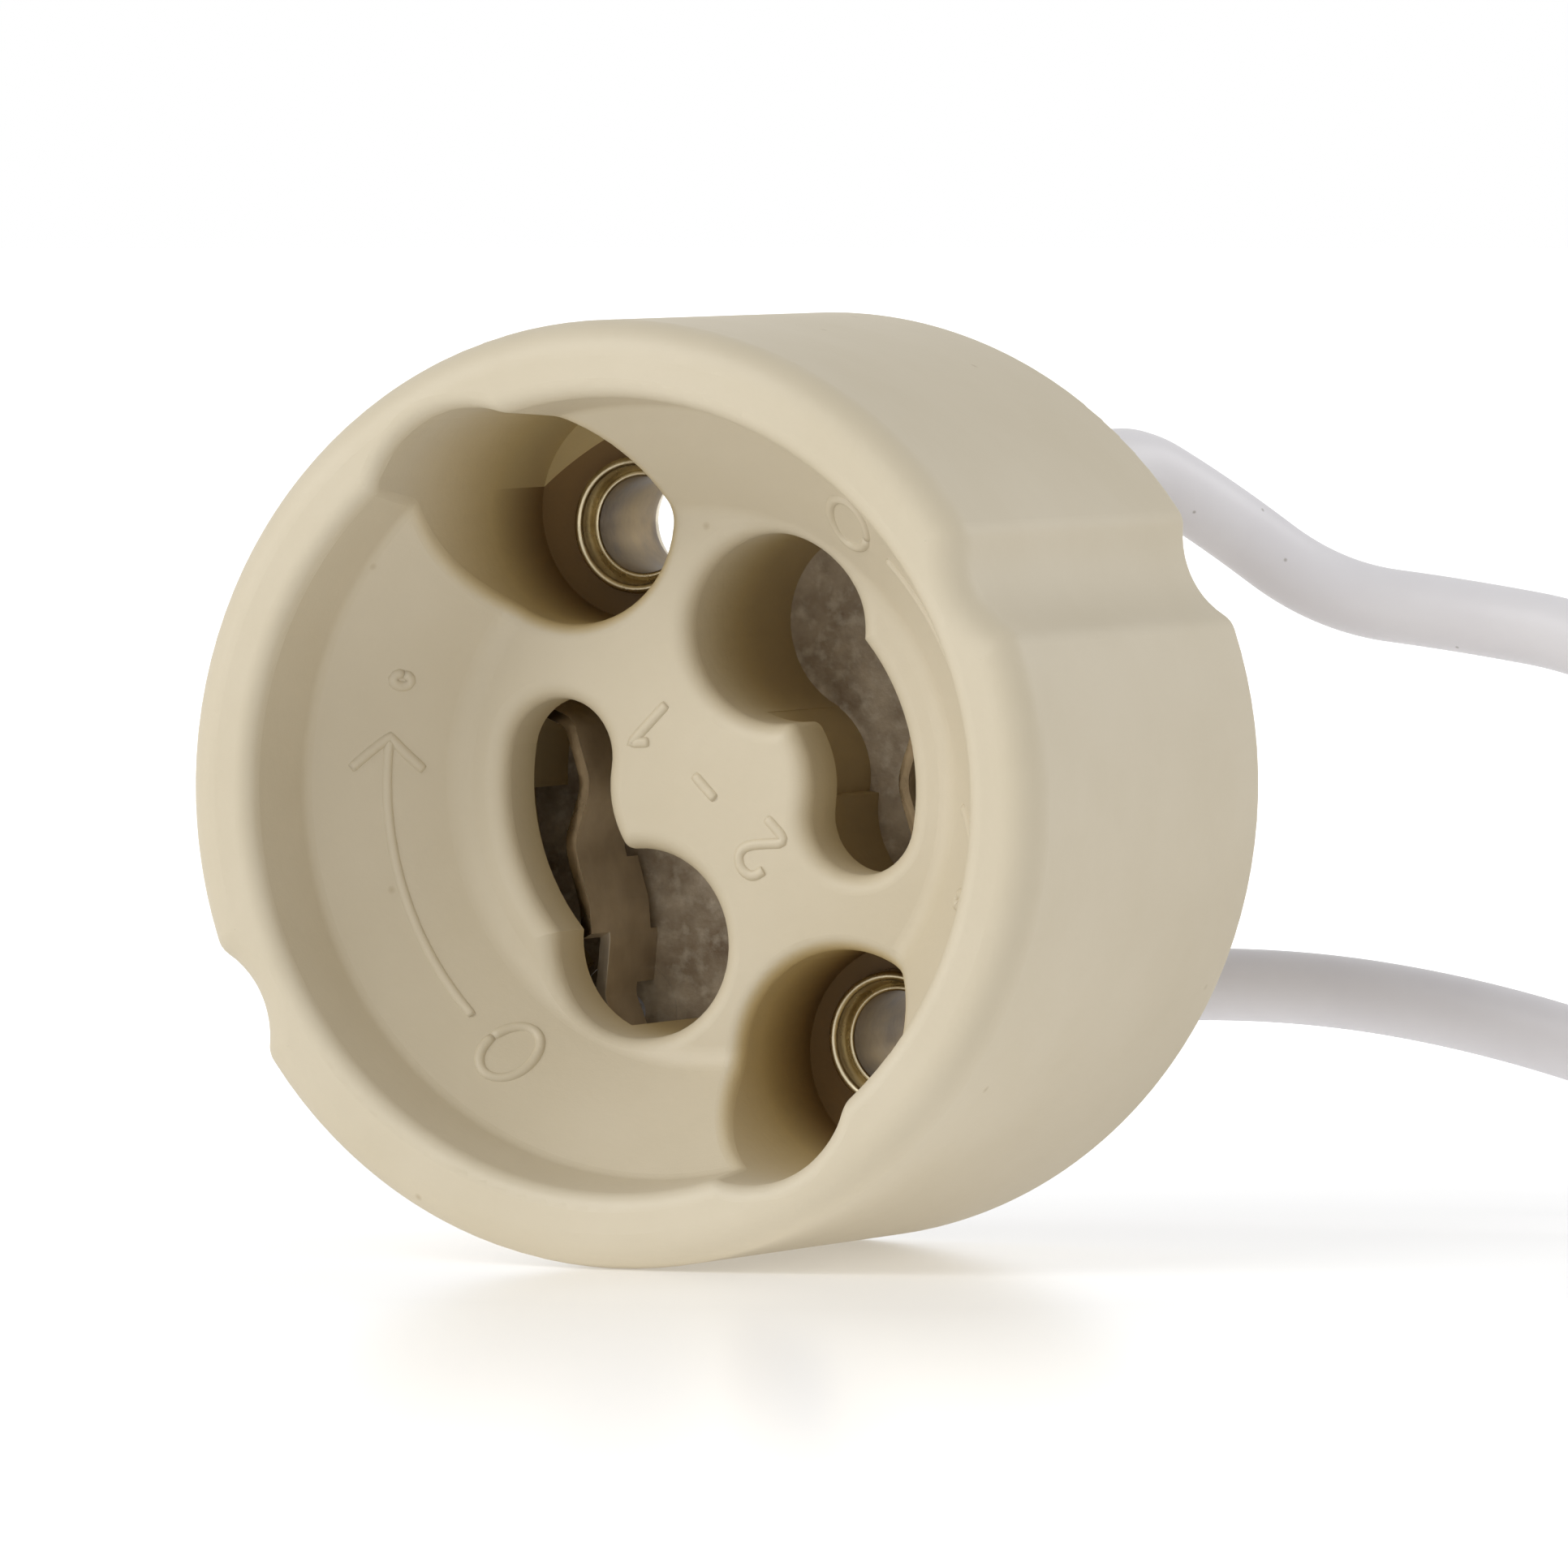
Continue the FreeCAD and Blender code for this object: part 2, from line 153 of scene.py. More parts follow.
upper_x, upper_z = crimp_place("upper")
lower_x, lower_z = crimp_place("lower")
lead_diameter_mm = 2 * lead_radius / MM
upper_route = [
    (upper_x, lead_start_y, upper_z), (upper_x, 1.0, upper_z), (6.7, 5.3, 10.2), (8.5, 9.3, 8.1),
    (11.2, 12.0, 5.35), (15.2, 13.4, 4.8), (20.0, 13.8, 4.0), (25.5, 13.9, 1.1),
    (30.5, 13.9, -4.4), (35.6, 13.9, -9.2),
] + loose_turn(table_z + 1.5 * lead_diameter_mm + 0.3, 11)
lower_route = [
    (lower_x, lead_start_y, lower_z), (lower_x, 1.2, lower_z), (-5.2, 6.4, -7.2),
    (-1.9, 10.8, -7.1), (3.2, 13.2, -7.1), (9.2, 14.2, -7.0), (15.2, 14.5, -7.8),
    (21.4, 14.4, -9.4), (28.5, 14.1, -11.9), (36.0, 13.95, table_z + lead_diameter_mm / 2),
] + loose_turn(table_z + lead_diameter_mm / 2, 10)
print("control points:", len(upper_route), "and", len(lower_route))


# %% Curves of the leads
def lead_curve(name, route_mm):
    """A round silicone tube along one smooth NURBS curve."""
    curve = bpy.data.curves.new(name, "CURVE")
    curve.dimensions = "3D"
    curve.resolution_u = 16
    curve.bevel_depth = lead_radius
    curve.bevel_resolution = 10
    curve.use_fill_caps = True
    spline = curve.splines.new("NURBS")
    spline.points.add(len(route_mm) - 1)
    for point, place in zip(spline.points, route_mm):
        point.co = (*(Vector(place) * MM), 1)
    spline.order_u = 3
    spline.use_endpoint_u = True
    lead = bpy.data.objects.new(name, curve)
    bpy.context.scene.collection.objects.link(lead)
    return lead


upper_lead = lead_curve("silicone_lead_upper", upper_route)
lower_lead = lead_curve("silicone_lead_lower", lower_route)


def centre_line(lead):
    """Points along a lead's own curve, read from a copy of it with no bevel."""
    bare = lead.copy()
    bare.data = lead.data.copy()
    bare.data.bevel_depth = 0
    mesh = bpy.data.meshes.new_from_object(bare)
    points = [vertex.co.copy() for vertex in mesh.vertices]
    bpy.data.objects.remove(bare)
    bpy.data.meshes.remove(mesh)
    return points


for lead in (upper_lead, lower_lead):
    line = centre_line(lead)
    length = sum((b - a).length for a, b in zip(line, line[1:]))
    print(lead.name, "is", round(length / MM, 1), "mm long")

# %% [markdown]
# ## Copper strands
#
# The core of each lead is a bundle of thin tinned wires with a gentle twist. It shows at
# the bared end and, inside the holder, in the crimp. One rod with a striped bump would look
# flat at its end, so every wire is a thin tube of its own. The wires stand in rings, one in
# the middle, six round it and twelve round those, and all turn about the middle together.

# %% Strand bundle
strand_radius = 0.097 * MM
strand_lay = 11.0 * MM


def mesh_object(name, bm):
    """A smooth-shaded object from a finished bmesh."""
    mesh = bpy.data.meshes.new(name)
    bm.to_mesh(mesh)
    bm.free()
    for polygon in mesh.polygons:
        polygon.use_smooth = True
    piece = bpy.data.objects.new(name, mesh)
    bpy.context.scene.collection.objects.link(piece)
    return piece


def add_tube(bm, points, radii, sides=8):
    """A closed tube through the points, with a radius for each."""
    rings = []
    for i, point in enumerate(points):
        before, after = points[max(i - 1, 0)], points[min(i + 1, len(points) - 1)]
        along = (after - before).normalized()
        if i == 0:
            across = along.orthogonal().normalized()
        else:
            across = (across - along * across.dot(along)).normalized()
        other = along.cross(across)
        rings.append([bm.verts.new(point + (across * math.cos(turn) + other * math.sin(turn)) * radii[i])
                      for turn in (2 * math.pi * side / sides for side in range(sides))])
    for low, high in zip(rings, rings[1:]):
        for k in range(sides):
            bm.faces.new((low[k], low[(k + 1) % sides], high[(k + 1) % sides], high[k]))
    bm.faces.new(rings[0][::-1])
    bm.faces.new(rings[-1])


def strand_bundle(name, start, direction, length):
    """Nineteen wires that twist about the line from start."""
    direction = direction.normalized()
    across = direction.orthogonal().normalized()
    other = direction.cross(across)
    bm = bmesh.new()
    steps = max(6, round(length / (0.35 * MM)))
    for ring, count in ((0, 1), (1, 6), (2, 12)):
        for k in range(count):
            points, radii = [], []
            for step in range(steps + 1):
                along = length * step / steps
                turn = 2 * math.pi * (k / count + along / strand_lay)
                reach = ring * 2.0 * strand_radius
                points.append(start + direction * along
                              + (across * math.cos(turn) + other * math.sin(turn)) * reach)
                radii.append(strand_radius)
            add_tube(bm, points, radii)
    return mesh_object(name, bm)


bared_length = 8 * MM
strand_pieces = {}
for side, lead in (("upper", upper_lead), ("lower", lower_lead)):
    line = centre_line(lead)
    bared = strand_bundle("bared_strands_" + side, line[-1], line[-1] - line[-2], bared_length)
    strand_pieces["core_bare_end_" + side] = bared
    low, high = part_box("core_crimped_" + side)
    middle = (low + high) / 2
    crimped = strand_bundle("crimped_strands_" + side, Vector((middle.x, low.y, middle.z)),
                            Vector((0, 1, 0)), (lead_start_y + 0.3) * MM - low.y)
    strand_pieces["core_crimped_" + side] = crimped
print("strand bundles:", ", ".join(piece.name for piece in strand_pieces.values()))

# %% [markdown]
# ## Hollow rivets
#
# A hollow rivet starts as a plain tube. A tool rolls its rim outwards and down, so the head
# is a shallow trumpet with a thin round rim, and the bore runs on through it. The rivet is
# turned here from a profile: the lip of the bore, the slope of the trumpet, its round rim,
# the tube, and the part rolled over at the rear. Turning it with many steps gives the thin
# clean ring of light that a rolled edge has. The head is narrower than the CAD rivet's, and
# the tail is longer by rivet_tail.


# %% Rolled rivets
rivet_bore = 1.5 * MM
rivet_tube = 1.9 * MM
rivet_head = 2.18 * MM
rivet_head_height = 0.9 * MM
rivet_flare = 2.55 * MM
rivet_tail = 0.8 * MM


def arc(centre_r, centre_y, radius_r, radius_y, start, end, steps):
    """Points (radius, y) along an elliptic arc, in degrees from the radial direction."""
    points = []
    for k in range(steps + 1):
        turn = math.radians(start + (end - start) * k / steps)
        points.append((centre_r + radius_r * math.cos(turn), centre_y + radius_y * math.sin(turn)))
    return points


def rivet_profile(low_y, high_y, seat_y, plate_y):
    """From the bore's lip over the rolled rim, down the tube and round the rear flare."""
    crest = 0.14 * MM
    crest_r = rivet_head - crest - 0.06 * MM
    lip = 0.09 * MM
    lip_r, lip_y = rivet_bore + lip, low_y + 0.62 * MM
    inside = arc(lip_r, lip_y, lip, -lip, 180, 20, 8)
    slope = [(lip_r + 0.13 * MM, lip_y + 0.03 * MM), (crest_r - crest - 0.02 * MM, low_y + 0.3 * MM)]
    rim = arc(crest_r, low_y + crest, crest, -crest, 180, 0, 14)
    shank = [(rivet_head, seat_y - 0.1 * MM), (rivet_head, seat_y),
             (rivet_tube, seat_y), (rivet_tube, plate_y)]
    flare_middle = (rivet_bore + rivet_flare) / 2
    flare_half = (rivet_flare - rivet_bore) / 2
    flare = [(rivet_flare - 0.03 * MM, plate_y)]
    flare += arc(flare_middle, plate_y + 0.12 * MM, flare_half, high_y - plate_y - 0.12 * MM, 0, 180, 20)
    return inside + slope + rim + shank + flare


def turned_ring(name, profile, centre, steps=96):
    """Turn a closed profile of (radius, y) about an axis along Y through the centre."""
    bm = bmesh.new()
    rings = []
    for k in range(steps):
        turn = 2 * math.pi * k / steps
        rings.append([bm.verts.new((centre.x + radius * math.cos(turn), y,
                                    centre.z + radius * math.sin(turn)))
                      for radius, y in profile])
    count = len(profile)
    for k in range(steps):
        here, there = rings[k], rings[(k + 1) % steps]
        for i in range(count):
            j = (i + 1) % count
            bm.faces.new((here[i], there[i], there[j], here[j]))
    bmesh.ops.recalc_face_normals(bm, faces=bm.faces)
    ring = mesh_object(name, bm)
    ring.data.set_sharp_from_angle(angle=math.radians(50))
    return ring


def inside_bore(piece, centre):
    """The numbers of the faces that line a rivet's bore."""
    found = []
    for polygon in piece.data.polygons:
        across = polygon.center - centre
        if math.hypot(across.x, across.z) < rivet_bore * 1.02:
            found.append(polygon.index)
    return found


rivet_pieces, bore_faces = {}, {}
mica_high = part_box("mica_back_plate")[1].y
for side in ("upper", "lower"):
    low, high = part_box("rivet_" + side)
    middle = (low + high) / 2
    profile = rivet_profile(low.y, high.y + rivet_tail, low.y + rivet_head_height, mica_high)
    ring = turned_ring("rolled_rivet_" + side, profile, middle)
    rivet_pieces["rivet_" + side] = ring
    bore_faces[ring.name] = inside_bore(ring, middle)
print("rivets:", ", ".join(rivet_pieces))

# %% [markdown]
# ## Washers
#
# Each lead's hole in the back plate is closed at the front by a thin mica washer that lets
# only the copper core through. The washers are made up: they aren't in the CAD model, and a
# real holder may have none. They keep the silicone's end from showing through the keyholes.
# A washer is a turned ring with a square profile.

# %% Washers
washer_front, washer_rear = -2.33 * MM, -2.23 * MM
washer_inner, washer_outer = 0.6 * MM, 1.68 * MM
washer_profile = [(washer_inner, washer_front), (washer_outer, washer_front),
                  (washer_outer, washer_rear), (washer_inner, washer_rear)]
washers = []
for side, x, z in (("upper", upper_x, upper_z), ("lower", lower_x, lower_z)):
    washers.append(turned_ring("mica_washer_" + side, washer_profile, Vector((x * MM, 0, z * MM))))
print("washers:", len(washers))

# %% [markdown]
# ## Contact springs
#
# Each spring is punched from thin plated strip, then bent. Punching leaves its edges very
# slightly rounded, and those edges catch a fine line of light. The strip is taken as plated
# before it was punched, so the cut edge is bare and darker. The CAD strip has sharp edges,
# so this piece takes the same shape, gives it a narrow bevel and marks the cut faces.


# %% Springs with eased edges
def eased_copy(name, node, width):
    """A copy of a CAD node's shape whose sharp edges are slightly rounded."""
    bm = bmesh.new()
    bm.from_mesh(nodes[node].data)
    bmesh.ops.remove_doubles(bm, verts=bm.verts, dist=0.002 * MM)
    bmesh.ops.dissolve_limit(bm, angle_limit=math.radians(1), verts=bm.verts, edges=bm.edges)
    piece = mesh_object(name, bm)
    bevel = piece.modifiers.new("eased edges", "BEVEL")
    bevel.width = width
    bevel.segments = 3
    bevel.limit_method = "ANGLE"
    bevel.angle_limit = math.radians(40)
    bevel.harden_normals = True
    return piece


def punched_edge(piece):
    """The numbers of the faces along the strip's front edge."""
    front = min(vertex.co.y for vertex in piece.data.vertices)
    return [polygon.index for polygon in piece.data.polygons
            if polygon.normal.y < -0.7 and polygon.center.y < front + 0.15 * MM]


spring_edge = 0.05 * MM
spring_pieces = {"contact_" + side: eased_copy("contact_spring_" + side, "contact_" + side, spring_edge)
                 for side in ("left", "right")}
print("springs:", ", ".join(spring_pieces))

# %% [markdown]
# ## Raised marks
#
# Pressed ceramic carries shallow raised signs, because the die can be engraved. Here they
# are plain ones: on the slope, an open ring, an arrow and a dot that show which way the
# lamp turns, and on the floor the numbers of the two contacts. Each stroke is a thin tube
# that is sunk into the surface, so only a low rounded ridge stands out. A ray along the
# holder's axis finds the surface, so the marks follow the slope.

# %% Strokes on the ceramic
stroke_radius = 0.19 * MM
stroke_rise = 0.1 * MM
stroke_step = 0.1
skin = bmesh.new()
skin.from_mesh(nodes["ceramic_body"].data)
ceramic_skin = BVHTree.FromBMesh(skin)
skin.free()


def rounded(points):
    """The same stroke with its corners cut twice."""
    for _ in range(2):
        cut = [points[0]]
        for (u0, v0), (u1, v1) in zip(points, points[1:]):
            cut += [(0.75 * u0 + 0.25 * u1, 0.75 * v0 + 0.25 * v1),
                    (0.25 * u0 + 0.75 * u1, 0.25 * v0 + 0.75 * v1)]
        points = cut + [points[-1]]
    return points


def stepped(points):
    """The stroke with a point at every short step."""
    places = [points[0]]
    for (u0, v0), (u1, v1) in zip(points, points[1:]):
        count = max(1, round(math.hypot(u1 - u0, v1 - v0) / stroke_step))
        places += [(u0 + (u1 - u0) * k / count, v0 + (v1 - v0) * k / count) for k in range(1, count + 1)]
    return places


def add_stroke(bm, points, place_on):
    """One raised stroke, with soft ends, along points that place_on turns into x and z."""
    centres = []
    for u, v in stepped(points):
        x, z = place_on(u, v)
        start = Vector((x * MM, holder_low.y - MM, z * MM))
        hit, normal, _, _ = ceramic_skin.ray_cast(start, Vector((0, 1, 0)))
        if normal.y > 0:
            normal = -normal
        centres.append(hit - normal * (stroke_radius - stroke_rise))
    last = len(centres) - 1
    radii = [stroke_radius * (0.86 if i in (0, last) else 1.0) for i in range(len(centres))]
    add_tube(bm, centres, radii, sides=16)


# %% Signs on the slope and numbers on the floor
slope_radius = 10.0
ring_size, dot_size = 0.75, 0.2
number_one = [(0.0, 1.25), (0.4, 1.7), (0.4, 0.0)]
number_two = [(0.0, 1.2), (0.1, 1.62), (0.55, 1.75), (0.95, 1.5), (0.95, 1.1), (0.6, 0.65),
              (0.0, 0.0), (1.05, 0.0)]


def on_slope(middle_deg):
    """Turn a place along and across the slope into x and z."""
    def place_on(u, v):
        turn = math.radians(middle_deg) - u / slope_radius
        return (slope_radius + v) * math.cos(turn), (slope_radius + v) * math.sin(turn)
    return place_on


def on_floor(u, v):
    """Turn a place along and across the line between the keyholes into x and z."""
    return (-u - v) * math.sqrt(0.5), (u - v) * math.sqrt(0.5)


def circle(radius, count=36):
    """Points round a circle, with the first one again at the end."""
    return [(radius * math.cos(2 * math.pi * k / count), radius * math.sin(2 * math.pi * k / count))
            for k in range(count + 1)]


marks = bmesh.new()
for middle_deg in (197, 17):
    spot = on_slope(middle_deg)
    add_stroke(marks, [(u - 6.6, v) for u, v in circle(ring_size)], spot)
    add_stroke(marks, [(-4.9, 0.0), (4.3, 0.0)], spot)
    add_stroke(marks, [(3.4, 0.8), (4.4, 0.0), (3.4, -0.8)], spot)
    add_stroke(marks, [(u + 6.2, v) for u, v in circle(dot_size, 12)], spot)
add_stroke(marks, [(u + 2.3, v - 0.85) for u, v in number_one], on_floor)
add_stroke(marks, [(-0.5, 0.0), (0.5, 0.0)], on_floor)
add_stroke(marks, [(u - 3.2, v - 0.85) for u, v in rounded(number_two)], on_floor)
raised_marks = mesh_object("raised_marks", marks)
print("raised marks:", len(raised_marks.data.polygons), "faces")

# %% [markdown]
# ## Shared effects
#
# Fired clay, mica, rubber and plated metal all need some of the same things: soft clouds of
# colour, small specks, and a fine unevenness of the surface. Each effect is a node group
# that is built once and used in several materials with other values. The groups only put
# out values and colours, and each material has its own shader.


# %% Node helpers
def new_group(name, inputs, outputs):
    """An empty shader node group with named inputs and outputs."""
    group = bpy.data.node_groups.new(name, "ShaderNodeTree")
    for label, kind, value in inputs:
        socket = group.interface.new_socket(name=label, in_out="INPUT", socket_type=kind)
        socket.default_value = value
    for label, kind in outputs:
        group.interface.new_socket(name=label, in_out="OUTPUT", socket_type=kind)
    return group, group.nodes.new("NodeGroupInput"), group.nodes.new("NodeGroupOutput")


def add_node(tree, kind, values=None, links=None, **settings):
    """Add a node, set its sockets and link other outputs into it."""
    node = tree.nodes.new(kind)
    for key, value in settings.items():
        setattr(node, key, value)
    for socket, value in (values or {}).items():
        node.inputs[socket].default_value = value
    for socket, output in (links or {}).items():
        tree.links.new(output, node.inputs[socket])
    return node


FLOAT, COLOUR = "NodeSocketFloat", "NodeSocketColor"

# %% Clouds, specks and grain
clouds, given, result = new_group(
    "soft clouds", [("Scale", FLOAT, 200.0), ("Detail", FLOAT, 3.0), ("Contrast", FLOAT, 1.0),
                    ("Light", COLOUR, (1, 1, 1, 1)), ("Dark", COLOUR, (0, 0, 0, 1))],
    [("Color", COLOUR), ("Value", FLOAT)])
place = add_node(clouds, "ShaderNodeTexCoord")
noise = add_node(clouds, "ShaderNodeTexNoise", {"Roughness": 0.55},
                 {"Vector": place.outputs["Object"], "Scale": given.outputs["Scale"],
                  "Detail": given.outputs["Detail"]})
centred = add_node(clouds, "ShaderNodeMath", {1: 0.5}, {0: noise.outputs["Fac"]}, operation="SUBTRACT")
spread = add_node(clouds, "ShaderNodeMath", {2: 0.5},
                  {0: centred.outputs[0], 1: given.outputs["Contrast"]}, operation="MULTIPLY_ADD",
                  use_clamp=True)
blend = add_node(clouds, "ShaderNodeMix", {}, {"Factor": spread.outputs[0]}, data_type="RGBA")
clouds.links.new(given.outputs["Dark"], blend.inputs[6])
clouds.links.new(given.outputs["Light"], blend.inputs[7])
clouds.links.new(blend.outputs[2], result.inputs["Color"])
clouds.links.new(spread.outputs[0], result.inputs["Value"])

specks, given, result = new_group(
    "small specks", [("Scale", FLOAT, 900.0), ("Size", FLOAT, 0.12), ("Share", FLOAT, 0.3)],
    [("Mask", FLOAT)])
place = add_node(specks, "ShaderNodeTexCoord")
cells = add_node(specks, "ShaderNodeTexVoronoi", {},
                 {"Vector": place.outputs["Object"], "Scale": given.outputs["Scale"]})
near = add_node(specks, "ShaderNodeMath", {}, {0: given.outputs["Size"], 1: cells.outputs["Distance"]},
                operation="SUBTRACT")
sharp = add_node(specks, "ShaderNodeMath", {1: 14.0}, {0: near.outputs[0]}, operation="MULTIPLY",
                 use_clamp=True)
lottery = add_node(specks, "ShaderNodeSeparateColor", {}, {"Color": cells.outputs["Color"]})
chosen = add_node(specks, "ShaderNodeMath", {}, {0: lottery.outputs[0], 1: given.outputs["Share"]},
                  operation="LESS_THAN")
mask = add_node(specks, "ShaderNodeMath", {}, {0: sharp.outputs[0], 1: chosen.outputs[0]},
                operation="MULTIPLY")
specks.links.new(mask.outputs[0], result.inputs["Mask"])

grain, given, result = new_group(
    "surface grain", [("Broad Scale", FLOAT, 350.0), ("Fine Scale", FLOAT, 2600.0),
                      ("Fine Share", FLOAT, 0.35)],
    [("Height", FLOAT)])
place = add_node(grain, "ShaderNodeTexCoord")
broad = add_node(grain, "ShaderNodeTexNoise", {"Detail": 2.0},
                 {"Vector": place.outputs["Object"], "Scale": given.outputs["Broad Scale"]})
fine = add_node(grain, "ShaderNodeTexNoise", {"Detail": 3.0, "Roughness": 0.6},
                {"Vector": place.outputs["Object"], "Scale": given.outputs["Fine Scale"]})
height = add_node(grain, "ShaderNodeMath", {},
                  {0: fine.outputs["Fac"], 1: given.outputs["Fine Share"], 2: broad.outputs["Fac"]},
                  operation="MULTIPLY_ADD")
grain.links.new(height.outputs[0], result.inputs["Height"])

# %% Hollows, with painted shade
well_low, well_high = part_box("rivet_upper")
well_x, well_z = ((well_low + well_high) / 2).xz
well_pitch, rivet_pitch = 9.5, 9.0
well_reach = well_pitch / rivet_pitch
# Depths where the painted shade of the keyholes starts and where it is full.
floor_start, shade_from = -9.55 * MM, -6.0 * MM
hollows_reach = 12.0 * MM
well_edge_outer, well_edge_inner = 3.75 * MM, 3.45 * MM
well_end = -4.6 * MM
well_top, well_bottom = -14.5 * MM, -8.0 * MM
# Depths where the darker painted shade near the wells' bottoms starts and where it is full.
deep_shade_start, deep_shade_full = -8.2 * MM, -4.9 * MM
# This group paints shade: Mask grows with depth in the keyholes and wells, and Bottom deepens it towards the
# wells' bottoms.
hollows, given, result = new_group("painted shade of the hollows", [],
                                   [("Mask", FLOAT), ("Bottom", FLOAT)])
place = add_node(hollows, "ShaderNodeTexCoord")
parts = add_node(hollows, "ShaderNodeSeparateXYZ", {}, {"Vector": place.outputs["Object"]})
flat_place = add_node(hollows, "ShaderNodeCombineXYZ", {}, {"X": parts.outputs["X"], "Z": parts.outputs["Z"]})
below_floor = add_node(hollows, "ShaderNodeMapRange", {"From Min": floor_start, "From Max": shade_from},
                       {"Value": parts.outputs["Y"]})
from_axis = add_node(hollows, "ShaderNodeVectorMath", {1: (0, 0, 0)}, {0: flat_place.outputs[0]},
                     operation="DISTANCE")
within = add_node(hollows, "ShaderNodeMath", {1: hollows_reach}, {0: from_axis.outputs["Value"]},
                  operation="LESS_THAN")
deep = add_node(hollows, "ShaderNodeMath", {}, {0: below_floor.outputs[0], 1: within.outputs[0]},
                operation="MULTIPLY")
to_wells = []
for sign in (1, -1):
    centre = (sign * well_x * well_reach, 0, sign * well_z * well_reach)
    to_well = add_node(hollows, "ShaderNodeVectorMath", {1: centre}, {0: flat_place.outputs[0]},
                       operation="DISTANCE")
    to_wells.append(to_well.outputs["Value"])
nearest = add_node(hollows, "ShaderNodeMath", {}, {0: to_wells[0], 1: to_wells[1]}, operation="MINIMUM")
round_well = add_node(hollows, "ShaderNodeMapRange",
                      {"From Min": well_edge_outer, "From Max": well_edge_inner},
                      {"Value": nearest.outputs[0]})
before_rear = add_node(hollows, "ShaderNodeMath", {1: well_end}, {0: parts.outputs["Y"]},
                       operation="LESS_THAN")
in_well = add_node(hollows, "ShaderNodeMath", {}, {0: round_well.outputs[0], 1: before_rear.outputs[0]},
                   operation="MULTIPLY")
down_well = add_node(hollows, "ShaderNodeMapRange", {"From Min": well_top, "From Max": well_bottom},
                     {"Value": parts.outputs["Y"]})
well_depth = add_node(hollows, "ShaderNodeMath", {}, {0: in_well.outputs[0], 1: down_well.outputs[0]},
                      operation="MULTIPLY")
both = add_node(hollows, "ShaderNodeMath", {}, {0: deep.outputs[0], 1: well_depth.outputs[0]},
                operation="MAXIMUM")
hollows.links.new(both.outputs[0], result.inputs["Mask"])
near_bottom = add_node(hollows, "ShaderNodeMapRange", {"From Min": deep_shade_start, "From Max": deep_shade_full},
                       {"Value": parts.outputs["Y"]})
well_shade = add_node(hollows, "ShaderNodeMapRange", {"To Min": 0.35, "To Max": 1.0},
                 {"Value": in_well.outputs[0]})
inside = add_node(hollows, "ShaderNodeMath", {}, {0: well_shade.outputs[0], 1: within.outputs[0]},
                  operation="MULTIPLY")
bottom = add_node(hollows, "ShaderNodeMath", {}, {0: near_bottom.outputs[0], 1: inside.outputs[0]},
                  operation="MULTIPLY")
hollows.links.new(bottom.outputs[0], result.inputs["Bottom"])
print("effects:", ", ".join(group.name for group in (clouds, specks, grain, hollows)))


# %% Material helper
def new_material(name, **sockets):
    """A material with a plain shader whose fixed numbers sit on its own sockets."""
    material = bpy.data.materials.new(name)
    material.use_nodes = True
    tree = material.node_tree
    shader = tree.nodes["Principled BSDF"]
    for socket, value in sockets.items():
        shader.inputs[socket.replace("_", " ")].default_value = value
    return material, tree, shader


def use_effect(tree, group, **values):
    """Place a shared effect in a material with its own values."""
    node = tree.nodes.new("ShaderNodeGroup")
    node.node_tree = group
    for label, value in values.items():
        node.inputs[label.replace("_", " ")].default_value = value
    return node


def add_bump(tree, shader, height, distance, strength=1.0):
    """Let a height in metres move the shading normal."""
    bump = add_node(tree, "ShaderNodeBump", {"Strength": strength, "Distance": distance},
                    {"Height": height})
    tree.links.new(bump.outputs["Normal"], shader.inputs["Normal"])
    return bump


def srgb(hex_code):
    """A colour as a painter's hex code, turned into the linear values that shaders use."""
    parts = [int(hex_code[i:i + 2], 16) / 255 for i in (0, 2, 4)]
    linear = [part / 12.92 if part <= 0.04045 else ((part + 0.055) / 1.055) ** 2.4 for part in parts]
    return (*linear, 1)


# %% [markdown]
# ## Ceramic
#
# The body is pressed from a clay-like powder and fired without a glaze. It is cream, a
# little warmer in some places than in others, with a few tiny dark grains, and its skin has
# a fine tooth. Deep in the wells and keyholes it is painted browner and darker, as painted
# shade where little light reaches. The soft clouds give the colour, a depth mask the painted
# shade, the specks the grains, and the grain group feeds a shallow bump.

# %% Ceramic finish
ceramic, tree, shader = new_material("unglazed ceramic", Roughness=0.5, IOR=1.5)
body_colour = use_effect(tree, clouds, Scale=130.0, Detail=4.0, Contrast=1.6,
                         Light=srgb("CEC3AC"), Dark=srgb("C5B99F"))
depth = use_effect(tree, hollows)
# Painted shade: the depth mask mixes a brown into the cream deep in the hollows, and a dark brown near the
# wells' bottoms.
painted_brown_shade = add_node(tree, "ShaderNodeMix", {7: srgb("CBB684")},
                   {6: body_colour.outputs["Color"], "Factor": depth.outputs["Mask"]}, data_type="RGBA")
painted_deep_shade = add_node(tree, "ShaderNodeMix", {7: srgb("84683E")},
                   {6: painted_brown_shade.outputs[2], "Factor": depth.outputs["Bottom"]}, data_type="RGBA")
grains = use_effect(tree, specks, Scale=620.0, Size=0.10, Share=0.10)
speckled = add_node(tree, "ShaderNodeMix", {7: srgb("A08C66")}, {6: painted_deep_shade.outputs[2]},
                    data_type="RGBA")
grain_strength = add_node(tree, "ShaderNodeMath", {1: 0.45}, {0: grains.outputs["Mask"]},
                          operation="MULTIPLY")
tree.links.new(grain_strength.outputs[0], speckled.inputs["Factor"])
tree.links.new(speckled.outputs[2], shader.inputs["Base Color"])
tooth = use_effect(tree, grain, Broad_Scale=420.0, Fine_Scale=3200.0, Fine_Share=0.3)
add_bump(tree, shader, tooth.outputs["Height"], 0.035 * MM)
